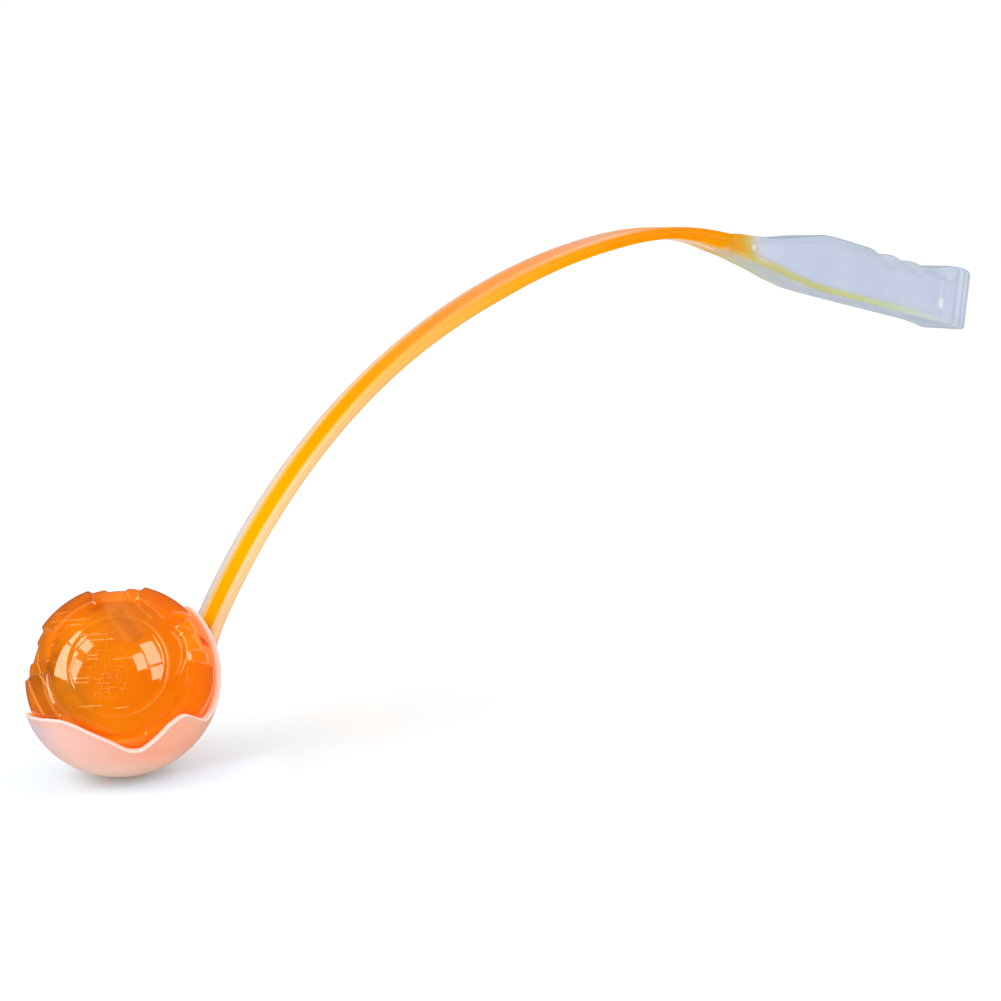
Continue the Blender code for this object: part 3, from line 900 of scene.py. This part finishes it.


# Colours down the shaft, each by the distance from the cup in millimetres. The far edge is painted
# grey
# # as edge shade, and the core's orange glow is painted into the margins, more on the near margin
# than
# # the far one, and into the wall
far_edge_shade_run = (
    (0, 186, 176, 176), (60, 192, 178, 170), (90, 200, 180, 166), (150, 228, 205, 188),
    (210, 214, 172, 150), (240, 204, 163, 150), (265, 230, 150, 90), (306, 235, 150, 60),
)
far_margin_run = (
    (0, 218, 208, 204), (40, 222, 208, 192), (90, 234, 199, 156), (120, 240, 199, 156),
    (150, 231, 188, 152), (180, 227, 177, 136), (210, 229, 167, 130), (240, 219, 172, 152),
    (262, 240, 165, 110), (285, 244, 146, 18), (306, 237, 158, 18),
)
core_run = (
    (0, 253, 174, 6), (30, 255, 176, 0), (60, 255, 170, 0), (90, 255, 162, 0), (120, 253, 162, 18),
    (150, 251, 157, 58), (180, 250, 158, 84), (210, 244, 161, 110), (240, 228, 171, 142),
    (262, 245, 165, 100), (285, 248, 146, 16), (306, 238, 158, 16),
)
core_glow_run = (
    (0, 250, 206, 112), (60, 250, 192, 74), (90, 249, 184, 50), (120, 248, 177, 60),
    (150, 244, 172, 84), (180, 245, 168, 98), (210, 244, 168, 120), (240, 230, 177, 152),
    (262, 245, 168, 105), (285, 248, 147, 20), (306, 238, 158, 18),
)
near_margin_run = (
    (0, 249, 208, 158), (40, 246, 202, 146), (90, 253, 197, 118), (120, 252, 192, 82),
    (150, 251, 182, 74), (180, 248, 176, 86), (210, 252, 180, 116), (240, 250, 186, 138),
    (262, 248, 180, 110), (285, 248, 146, 18), (306, 237, 158, 18),
)
wall_run = (
    (0, 247, 205, 150), (40, 248, 208, 146), (90, 247, 194, 128), (120, 252, 190, 96),
    (150, 251, 186, 76), (180, 255, 176, 30), (210, 255, 166, 4), (240, 255, 154, 0),
    (270, 254, 146, 0), (285, 248, 148, 10), (296, 240, 150, 8), (306, 234, 154, 8),
    (317, 228, 178, 122),
)
under_run = (
    (0, 214, 168, 122), (90, 216, 166, 112), (150, 234, 168, 80), (210, 232, 150, 60),
    (250, 236, 160, 120), (270, 242, 176, 140), (285, 238, 176, 134), (296, 224, 176, 122),
    (306, 214, 180, 124),
)

# The crown face is lit from straight above, so its colours are held back a little
crown_shade = (0.94, 0.86, 0.80, 1)


def beside_core(along, across):
    """Distance from the strip's middle line, which stands a little aside near the cup."""
    return abs(across + along.step(50, 120, 1.1, 0))


def held_back(graph, along, crown):
    """The crown face's colour under its shade, which grows away from the cup."""
    return graph.mix(along.step(50, 150, 0.15, 1), crown, crown_shade, "MULTIPLY")


def shaft_material():
    """Painted by millimetres along and across the arm, and by the share of its depth below."""
    graph = Graph("frosted_shaft")
    along, across, below = (graph.attribute(name) for name in ("along", "across", "below"))
    sideways = beside_core(along, across)
    at_grip = along.step(235, 262)
    # Thin painted highlight lines near the crown's near edge, with thin darker lines beside them
    dark_lines = across.band(-6, 0.10, 0.25) + across.band(-7.4, 0.08, 0.2)
    crown_highlight_lines = across.band(-6.7, 0.12, 0.25) + across.band(-8.1, 0.10, 0.2)
    crown = graph.coats(
        graph.run(along, near_margin_run),
        (across.step(-3, 3), graph.run(along, far_margin_run)),
        (across.step(7, 8.4), graph.run(along, far_edge_shade_run)),
        (sideways.fade(4.2, 6.2), graph.run(along, core_glow_run)),
        (sideways.fade(3.9, 4.4), graph.run(along, core_run)),
        (dark_lines * along.step(60, 130, 0.35, 0), (226, 178, 118)),
        (crown_highlight_lines * along.step(50, 130, 0.6, 0.08), (255, 236, 205)),
    )
    under = graph.coats(
        graph.run(along, under_run),
        (across.step(1.5, 4.5) * at_grip * along.fade(286, 300), (212, 196, 190)),
        (across.band(1, 0.3, 0.9) * at_grip * 0.7, (255, 228, 208)),
    )
    slant = (below - 0.4) * along.step(262, 302, 0, 6)
    slant = slant + below.step(0.76, 0.98) * along.step(298, 306, 0, 6)
    by_cup = along.step(90, 160, 1, 0.1)
    dark_line = below.band(0.66, 0.03, 0.06) * by_cup
    light_line = below.band(0.42, 0.03, 0.07) * by_cup
    # Painted edge shade: darker along the wall's lower edge near the cup
    lower_edge = along.step(170, 220, 0.75, 0) * below.step(0.78, 0.97)
    turned_under = below.step(0.93, 1) * across.step(-6.5, -1)
    wall = graph.coats(
        graph.run(along + slant, wall_run),
        (dark_line * 0.35, (214, 168, 106)),
        (light_line * 0.4, (255, 230, 185)),
        (lower_edge, (196, 136, 84)),
        (turned_under, under),
    )
    # Painted dark line along both crown edges near the grip, where the clear edge shows darker
    crown_line = below.band(0.02, 0.02, 0.05) * sideways.step(7.6, 8.3) * at_grip
    face = graph.coats(
        held_back(graph, along, crown),
        (below.step(0.03, 0.22), wall),
        (crown_line * 0.7, (205, 128, 52)),
        (along.fade(-2, 16) * below.step(0.35, 0.8), (244, 182, 158)),
    )
    return frosted(graph, cloudy(graph, face, 60, untinted, (0.97, 0.95, 0.93, 1)), shine=0)


def core_material():
    """Clear bright strip that melts into the arm's margins, its edges painted with the glow it
    casts.
    """
    graph = Graph("orange_core")
    along = graph.attribute("along")
    sideways = beside_core(along, graph.attribute("across"))
    body = graph.coats(
        graph.run(along, core_run), (sideways.step(2.9, 4.4), graph.run(along, core_glow_run)),
    )
    body = cloudy(graph, held_back(graph, along, body), 70, untinted, (1, 0.96, 0.85, 1))
    return frosted(graph, body, roughness=0.5, depth=0.2, shine=0)


# Colours of the grip: the painted warm glow where the arm ends, the core's tail painted as an olive
# # glow in its floor, its face by the height above the floor, and its floor by the distance from
# the arm's end
glow_run = (
    (0, 234, 154, 8), (3, 238, 158, 6), (5.5, 230, 165, 20), (8, 226, 166, 36),
    (10.5, 220, 175, 68), (13, 213, 184, 104), (15, 209, 195, 146), (17.5, 207, 203, 186),
    (21, 205, 207, 204), (26, 203, 210, 218),
)
olive_run = (
    (0, 226, 170, 80), (8, 222, 190, 96), (16, 212, 194, 102), (30, 203, 199, 120),
    (50, 198, 198, 126), (75, 201, 203, 128), (95, 203, 210, 154), (125, 201, 213, 186),
    (150, 200, 213, 208),
)
grip_face_run = (
    (0, 204, 215, 224), (3, 200, 209, 229), (12, 199, 206, 230), (20, 198, 207, 228),
    (26, 196, 207, 222),
)
grip_floor_run = (
    (0, 242, 190, 112), (5, 234, 192, 117), (9, 230, 198, 120), (14, 218, 207, 143),
    (19, 211, 206, 168), (26, 206, 207, 176), (34, 205, 208, 190), (48, 203, 212, 216),
    (80, 204, 214, 228), (140, 202, 212, 229),
)


def grip_material(name, panel):
    """Bluish frost with painted glows, warm at the shaft's end and olive along the floor's edges.
    """
    graph = Graph(name)
    along, above_floor, below_crown, from_side, above_fold = map(graph.attribute, grip_notes)
    face = graph.run(above_floor, grip_face_run)
    if not panel:
        floor = above_floor.fade(0.2, 1.6)
        top_line = below_crown.fade(0.2, 0.8) * from_side.fade(2, 4.5)
        face = graph.coats(
            face,
            (floor, graph.run(along, grip_floor_run)),
            # Painted shade down the rounded top edge, and a painted dark line along its top
            (below_crown.fade(0.8, 3.2) * 0.8, (186, 198, 215)),
            (top_line * 0.8, (160, 171, 192)),
            (floor * from_side.step(2.5, 9) * 0.45, (190, 202, 218)),
        )
    by_fingers = along.step(84, 92)
    under_fold = above_fold.step(-4.5, -0.6) * above_fold.fade(-0.6, 0)
    # Painted highlights: a line at the window's end wall and a spot beside it; and painted
    # highlights and shade of ripples on the cap
    end_wall = along.band(145.2, 0.5, 0.9) * above_fold.step(-16, -12) * above_fold.fade(-3, -1)
    highlight_spot = along.band(145.4, 0.8, 1.4) * above_fold.band(-12.6, 1.2, 1.8)
    ripple_highlights = along.band(157.6, 0.6, 1) + along.band(162, 0.3, 0.7)
    ripple_shade = along.band(154.6, 0.3, 0.9) + along.band(160.2, 0.2, 0.6)
    ripple_shade = ripple_shade + along.band(163.8, 0.3, 0.7)
    floor_edge = above_floor.fade(1.1, 3.8) * from_side.fade(0.8, 3.6)
    warmth = along + (above_floor - 2.3).least(4) * 0.8
    # Painted highlight at the nose, and painted shade in the cap's lower corner
    nose = along.band(13.6, 0.5, 0.8) * below_crown.step(3.6, 5) * above_floor.step(3, 4.5)
    corner = along.step(148, 167) * above_floor.fade(1, 9)
    face = graph.coats(
        face,
        # Painted light and shade of the finger dips seen through the side: lighter above the fold,
        # a dark line on it and darker under it
        (above_fold.step(-0.4, 0.8) * by_fingers * 0.25, (210, 219, 234)),
        (above_fold.band(-0.5, 0.1, 1.5) * by_fingers * 0.3, (178, 188, 208)),
        (under_fold * by_fingers * 0.3, (186, 196, 214)),
        (end_wall * 0.35, (222, 231, 242)),
        (highlight_spot * 0.9, (236, 243, 250)),
        (ripple_highlights * 0.5, (221, 230, 240)),
        (ripple_shade * 0.4, (176, 188, 204)),
        # Painted dark edge at the cap's end
        (along.step(165.6, 167.6) * 0.7, (166, 178, 196)),
        (floor_edge * along.step(110, 160, 0.92, 0.15), graph.run(along, olive_run)),
        (warmth.fade(14, 27) * above_floor.step(0.1, 1.3), graph.run(warmth, glow_run)),
        (nose * 0.75, (236, 230, 222)),
        (corner * 0.5, (172, 184, 196)),
    )
    return frosted(graph, cloudy(graph, face, 40, (0.98, 0.98, 0.97, 1), (0.92, 0.93, 0.93, 1), 1))


class BallFace:
    """Places on the ball's near face, in millimetres right and up from its middle."""

    def __init__(self, graph):
        self.graph = graph
        self.right = graph.reach(camera_right, ball_centre)
        self.up = graph.reach(camera_up, ball_centre)
        self.front = graph.reach(-camera_forward, ball_centre).step(-2, 4)

    def patch(self, right, up, wide, high, soft=0.9):
        """1 in an oval patch, fading out round it."""
        off = square_sum((self.right - right) / wide, (self.up - up) / high)
        return off.fade(1 - soft, 1 + soft) * self.front

    def streak(self, start, end, half, soft):
        """1 on a thin straight line."""
        reach = Vector(end) - Vector(start)
        way = reach.normalized()
        right = self.right - (start[0] + end[0]) / 2
        up = self.up - (start[1] + end[1]) / 2
        forward = right * way.x + up * way.y
        aside = right * -way.y + up * way.x
        return aside.band(0, half, soft) * forward.band(0, reach.length / 2, soft) * self.front

    def streaks(self, lines, half, soft):
        """1 on any of several thin straight lines."""
        return sum(self.streak(start, end, half, soft) for start, end in lines)

    def ring(self, centre, radius, half):
        """1 on a thin circle."""
        away = square_sum(self.right - centre[0], self.up - centre[1]).sum("SQRT")
        return away.band(radius, half, 0.2) * self.front

    def cells(self, shift, wide, high):
        """1 on the thin joints of a pattern of oblong cells."""
        wave = self.graph.noise(150) * 2.2
        shifted = {0: self.right - shift + wave, 1: self.up + shift - wave}
        spot = self.graph.node("CombineXYZ", {}, shifted)
        joints = self.graph.node("TexBrick", {"offset": 0.35}, {
            "Vector": spot, "Scale": 1, "Mortar Size": 0.09, "Mortar Smooth": 0.6,
            "Brick Width": wide, "Row Height": high,
        }, output=1)
        return joints * self.front


# Painted highlight lines in the ball, each from one place on its face to another, in millimetres
# right and up
ball_chords = (
    ((-27.9, 13.1), (-16.6, -3.5)), ((-29.6, 3.6), (-20.6, -10.2)), ((-28.5, 3.2), (-19.9, -10)),
)
ball_glints = (
    ((-19.6, 22.4), (-12.8, 24.2)), ((-20.6, 20.2), (-5.2, 21.8)), ((-17.6, 18.9), (-7.6, 20)),
    ((3.2, 30), (14.6, 21.6)), ((6.6, 30), (17.6, 21.2)),
)
# Painted light and shade in straight bands: from, to, half width, share, colour
ball_bands = (
    ((-2.6, 31), (9.7, 16.6), 1.9, 0.30, colour(255, 150, 66)),
    ((3.5, 23.6), (11.4, 15.7), 0.6, 0.50, colour(206, 100, 26)),
    ((-16.6, -3.5), (-4.3, -19.2), 0.05, 0.30, colour(255, 160, 70)),
    ((-27, 15), (-19, 4), 1.1, 0.45, colour(176, 84, 16)),
)
# Painted light and shade in the ball's depths: right, up, half width, half height, share, colour
ball_depth_shading = (
    (-22, 8, 8.5, 12, 1, colour(184, 88, 12)), (-10.6, -6, 9.5, 9, 0.85, colour(204, 112, 22)),
    (-8, 26.5, 12, 4.5, 0.8, colour(204, 74, 2)), (8, 22, 9, 8, 0.7, colour(226, 112, 30)),
    (-18, -12, 6, 9, 0.7, colour(214, 88, 6)), (-2, 8, 7, 9, 0.6, colour(224, 100, 4)),
    (18, -2, 6, 12, 0.5, colour(236, 96, 0)), (2, -16, 12, 6, 0.6, colour(255, 134, 8)),
)
# Painted shade: the ball darker towards its left, as factors by the distance right
ball_left_shade = ((-30, 231, 255, 255), (0, 241, 255, 255), (30, 248, 255, 255))

# Plain pattern on the near face: the size of its oblong cells, and the ovals they fill
small_cell = (2.3, 1.5)
large_cell = (4.6, 5.4)
small_cell_oval = (3.4, 0.4, 5.6, 4.6, 0.15)
large_cell_oval = (-0.4, 8, 8.6, 11, 0.15)
cell_shadow_shift = 0.28
twin_ring_centre = (12.8, 8.3)
medallion_bars = (
    ((-7.5, 16.5), (1.5, 17.1)), ((-6, 14.9), (4, 15.5)), ((-8.8, 2.6), (-2.6, 3)),
    ((-8.4, 1.2), (-3.4, 1.5)), ((4.6, 9), (10.2, 9.4)), ((-6.4, -6.6), (0.8, -6.2)),
    ((5, -7.2), (9.4, -6.9)), ((-4.2, 10.2), (-0.6, 10.4)), ((-4.2, 9), (-0.6, 9.2)),
)


def ball_material():
    """Clear orange rubber with its depths painted in light and shade, painted highlights on the
    block edges and a plain lined medallion.
    """
    graph = Graph("clear_orange")
    face = BallFace(graph)
    relief = graph.attribute("relief")
    polar = graph.attribute("polar")
    base = graph.mix(graph.noise(26, 3).step(0.42, 0.72), colour(249, 118, 0), colour(253, 130, 6))
    # Painted shade: redder towards the ball's outline as seen from the front
    limb = square_sum(face.right, face.up)
    base = graph.mix(limb.step(450, 960) * 0.5, base, colour(250, 108, 0))
    # Painted light and shade in the ball's depths, in patches broken up by noise
    depth_shading_breakup = graph.noise(60, 4, 0.6).step(0.38, 0.62) * 0.75 + 0.25
    for *oval, share, depth in ball_depth_shading:
        base = graph.mix(face.patch(*oval) * depth_shading_breakup * share, base, depth)
    for start, end, half, share, depth in ball_bands:
        base = graph.mix(face.streak(start, end, half, 2) * share, base, depth)
    # Painted highlights along the blocks' edges, the ring's edge, the chords and the glints
    edges = relief.band(0.68, 0.14, 0.12) * face.front * face.right.step(6, 18, 1, 0.15)
    broken = graph.noise(420, 1).step(0.42, 0.54)
    lines = polar.band(33.4, 0.25, 0.5) * face.right.step(4, 16, 0.1, 0.35) * face.front
    lines = lines + face.streaks(ball_chords, 0.08, 0.22) * 0.75
    lines = lines + face.streaks(ball_glints, 0.08, 0.25) * (broken * 0.3 + 0.15)
    gaps = graph.noise(260).step(0.40, 0.52)
    close = face.patch(*small_cell_oval) * gaps
    wide = face.patch(*large_cell_oval) * gaps

    def cells(shift):
        return face.cells(shift, *small_cell) * close + face.cells(shift, *large_cell) * wide

    # The medallion is a plain embossed pattern, drawn as painted highlight strokes with a painted
    # shadow beside them
    medallion = cells(0) + face.streaks(medallion_bars, 0.10, 0.22)
    base = graph.mix(cells(cell_shadow_shift) * 0.6, base, colour(206, 84, 0))
    lines = lines + medallion * (broken * 0.45 + 0.25)
    # Painted highlight arcs to the right
    twin = face.ring(twin_ring_centre, 12.8, 0.1) + face.ring(twin_ring_centre, 11.7, 0.05)
    lines = lines + twin * face.patch(24.4, 11.6, 5, 8.4, 0.4) * 0.7
    base = graph.mix(1, base, graph.run(face.right, ball_left_shade), "MULTIPLY")
    # All the lines and edges are painted highlights in one pale orange
    base = graph.mix((lines + edges * 0.3).least(0.8), base, colour(255, 182, 98))
    # Painted light: the ball glows though it is no lamp, dimly all over and brighter in the grooves
    # between the blocks
    groove = relief.fade(0.2, 0.8) * polar.step(49, 53)
    dimmed = graph.mix(1, base, (0.3, 0.3, 0.3, 1), "MULTIPLY")
    return graph.finish(
        Base_Color=base, Roughness=graph.noise(50).step(0.3, 0.7, 0.03, 0.07),
        Transmission_Weight=0.12, IOR=1.42, Specular_IOR_Level=0.5,
        Subsurface_Weight=0.15, Subsurface_Radius=(1, 0.35, 0.05), Subsurface_Scale=1 * mm,
        Emission_Color=graph.mix(groove, dimmed, colour(252, 140, 8)), Emission_Strength=0.33,
    )


# Stage, lights and camera

# The floor as the camera sees it: its paper and the light it adds, by the distance from the cup's
# foot, and more light by the distance in front of the foot
floor_paper_run = ((0, 246, 252, 254), (50, 246, 252, 254), (95, 247, 248, 248))
floor_lift_run = (
    (0, 105, 92, 86), (8, 105, 92, 86), (14, 40, 62, 76), (19, 0, 66, 90), (32, 0, 56, 80),
    (52, 0, 48, 60), (66, 0, 25, 42), (82, 0, 0, 0),
)
front_lift_run = ((9, 0, 0, 0), (18, 75, 95, 108), (34, 90, 108, 116))
glossy_surroundings = 0.06
floor_half_size = 12.0
floor_drop = 0.08 * mm
key_direction = (-0.82, 0.0, 0.95)
key_strength = 0.58
key_softness_degrees = 38.0
window_tint = (1.0, 0.95, 0.74, 1.0)
window_strength = 12.0

# Each window: where it stands right, up and back of the cup, its size, and its panes as left, low,
# width and height in shares of that size
windows = {
    "left_window": ((-0.77, 0.43, 0.50), (0.66, 0.95), (
        (-0.5, -0.5, 0.62, 0.62), (0.16, -0.5, 0.30, 0.5), (-0.5, 0.17, 0.42, 0.3),
        (0.0, 0.2, 0.4, 0.25),
    )),
    "right_window": ((0.80, 0.42, 0.62), (0.62, 0.86), (
        (-0.5, -0.15, 0.4, 0.45), (-0.04, -0.1, 0.54, 0.6), (-0.04, -0.5, 0.54, 0.34),
    )),
}
focal_pixels = 1500
frame_pixels = 1001
sensor_width = 36.0
nearest_view = 0.01


def white_floor():
    """White floor that keeps the object's shadow."""
    graph = Graph("white_floor")
    seen = graph.node("LightPath", output="Is Camera Ray")
    foot = Vector((cup_centre.x, 0.0, 0.0))
    ahead = graph.reach((1.0, 0.0, 0.0), foot)
    aside = graph.reach((0.0, 1.0, 0.0), foot)
    away = square_sum(ahead, aside).sum("SQRT")
    paper = graph.mix(seen, colour(252, 252, 252), graph.run(away, floor_paper_run))
    graph.finish(Base_Color=paper, Roughness=0.95, Specular_IOR_Level=0.0)
    lift = graph.run(away, floor_lift_run)
    front = graph.run(graph.reach((0.0, -1.0, 0.0), foot), front_lift_run)
    lift = graph.mix(away.fade(45.0, 60.0), lift, graph.mix(1.0, lift, front, "ADD"))
    dark, glow, dim = (
        graph.node("Emission", {}, {"Color": shade, "Strength": strength})
        for shade, strength in ((untinted, 0.0), (lift, 1.0), (untinted, glossy_surroundings))
    )
    extra = graph.node("MixShader", {}, {0: seen, 1: dark, 2: glow})
    lit = Value(graph, graph.shader.outputs[0])
    whole = graph.node("AddShader", {}, {0: lit, 1: extra})
    glossy = graph.node("LightPath", output="Is Glossy Ray")
    return graph.show(graph.node("MixShader", {}, {0: glossy, 1: whole, 2: dim}))


def build_floor():
    builder = bmesh.new()
    bmesh.ops.create_grid(builder, x_segments=1, y_segments=1, size=floor_half_size)
    bmesh.ops.translate(builder, verts=builder.verts, vec=(0.0, 0.0, -floor_drop))
    add_mesh("floor", builder, white_floor())


def light_the_world():
    """White to the camera and through clear plastic, and a plain soft light on the object."""
    graph = Graph("studio", "worlds", "Background")
    strength = 1.0
    for ray, chosen in (("Glossy", glossy_surroundings), ("Transmission", 1.0), ("Camera", 1.0)):
        path = graph.node("LightPath", output="Is %s Ray" % ray)
        strength = path.step(0.0, 1.0, strength, chosen)
    bpy.context.scene.world = graph.finish(Color=untinted, Strength=strength)


def add_sun():
    data = bpy.data.lights.new("key", "SUN")
    data.energy = key_strength
    data.angle = math.radians(key_softness_degrees)
    lamp = add_object("key", data)
    lamp.matrix_world = Vector(key_direction).to_track_quat("Z", "Y").to_matrix().to_4x4()
    lamp.visible_glossy = False


def add_window(name, direction, size, panes):
    """Bright window that only glossy surfaces show, standing off the ball in a camera direction."""
    graph = Graph(name)
    glow = graph.node("Emission", {}, {"Color": window_tint, "Strength": window_strength})
    right, up, back = direction
    outward = (camera_right * right + camera_up * up - camera_forward * back).normalized()
    builder = bmesh.new()
    for left, low, width, height in panes:
        made = bmesh.ops.create_grid(builder, x_segments=1, y_segments=1, size=0.5)
        for vertex in made["verts"]:
            vertex.co.x = (left + width * (vertex.co.x + 0.5)) * size[0]
            vertex.co.y = (low + height * (vertex.co.y + 0.5)) * size[1]
    turn = outward.to_track_quat("Z", "Y").to_matrix().to_4x4()
    stand = Matrix.Translation(cup_centre + outward) @ turn
    bmesh.ops.transform(builder, matrix=stand, verts=builder.verts)
    window = add_mesh(name, builder, graph.show(glow))
    for ray in ("camera", "diffuse", "transmission", "volume_scatter", "shadow"):
        setattr(window, "visible_" + ray, False)


def add_camera():
    data = bpy.data.cameras.new("camera")
    data.sensor_width = sensor_width
    data.lens = sensor_width * focal_pixels / frame_pixels
    data.clip_start = nearest_view
    camera = add_object("camera", data)
    turn = Matrix((camera_right, camera_up, -camera_forward)).transposed().to_4x4()
    camera.matrix_world = Matrix.Translation(cup_centre + camera_offset) @ turn
    bpy.context.scene.camera = camera


def main():
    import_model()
    bpy.context.scene.view_settings.view_transform = "Standard"
    add_camera()
    light_the_world()
    add_sun()
    build_floor()
    for name, window in windows.items():
        add_window(name, *window)
    shaft = shaft_material()
    grip = grip_material("frosted_grip", False)
    plate = grip_material("frosted_plate", True)
    clear = ball_material()
    skin_of_shaft = shaft_builder(shaft_stub_length + seam, shaft_length, shaft_steps)
    for name, builder, material, node, slot in (
        ("ball_cup_claw", cup_builder(), cup_material(), "ball_cup", "frosted_peach"),
        ("ball_cup_root", root_builder(), shaft, "ball_cup", "frosted_peach"),
        ("shaft_skin", skin_of_shaft, shaft, "shaft_shell", "frosted_shaft"),
        ("core_strip", core_builder(), core_material(), "shaft_core", "orange_core"),
        ("grip_body", frame_builder(), grip, "grip_frame", "frosted_grip"),
        ("grip_panel_near", plate_builder(-1), plate, "side_plate_near", "frosted_plate"),
        ("grip_panel_far", plate_builder(1), plate, "side_plate_far", "frosted_plate"),
        ("grip_cap", cap_builder(), grip, "end_cap", "frosted_grip"),
    ):
        finish_piece(name, builder, material, "thrower", node)
    for name, side, turned, node in (
        ("ball_front", 1, False, "ball_half_front"), ("ball_back", -1, True, "ball_half_back"),
    ):
        half = ball_builder(side, turned)
        finish_piece(name, half, clear, "ball", node, ball_sharp_edge_degrees)


main()
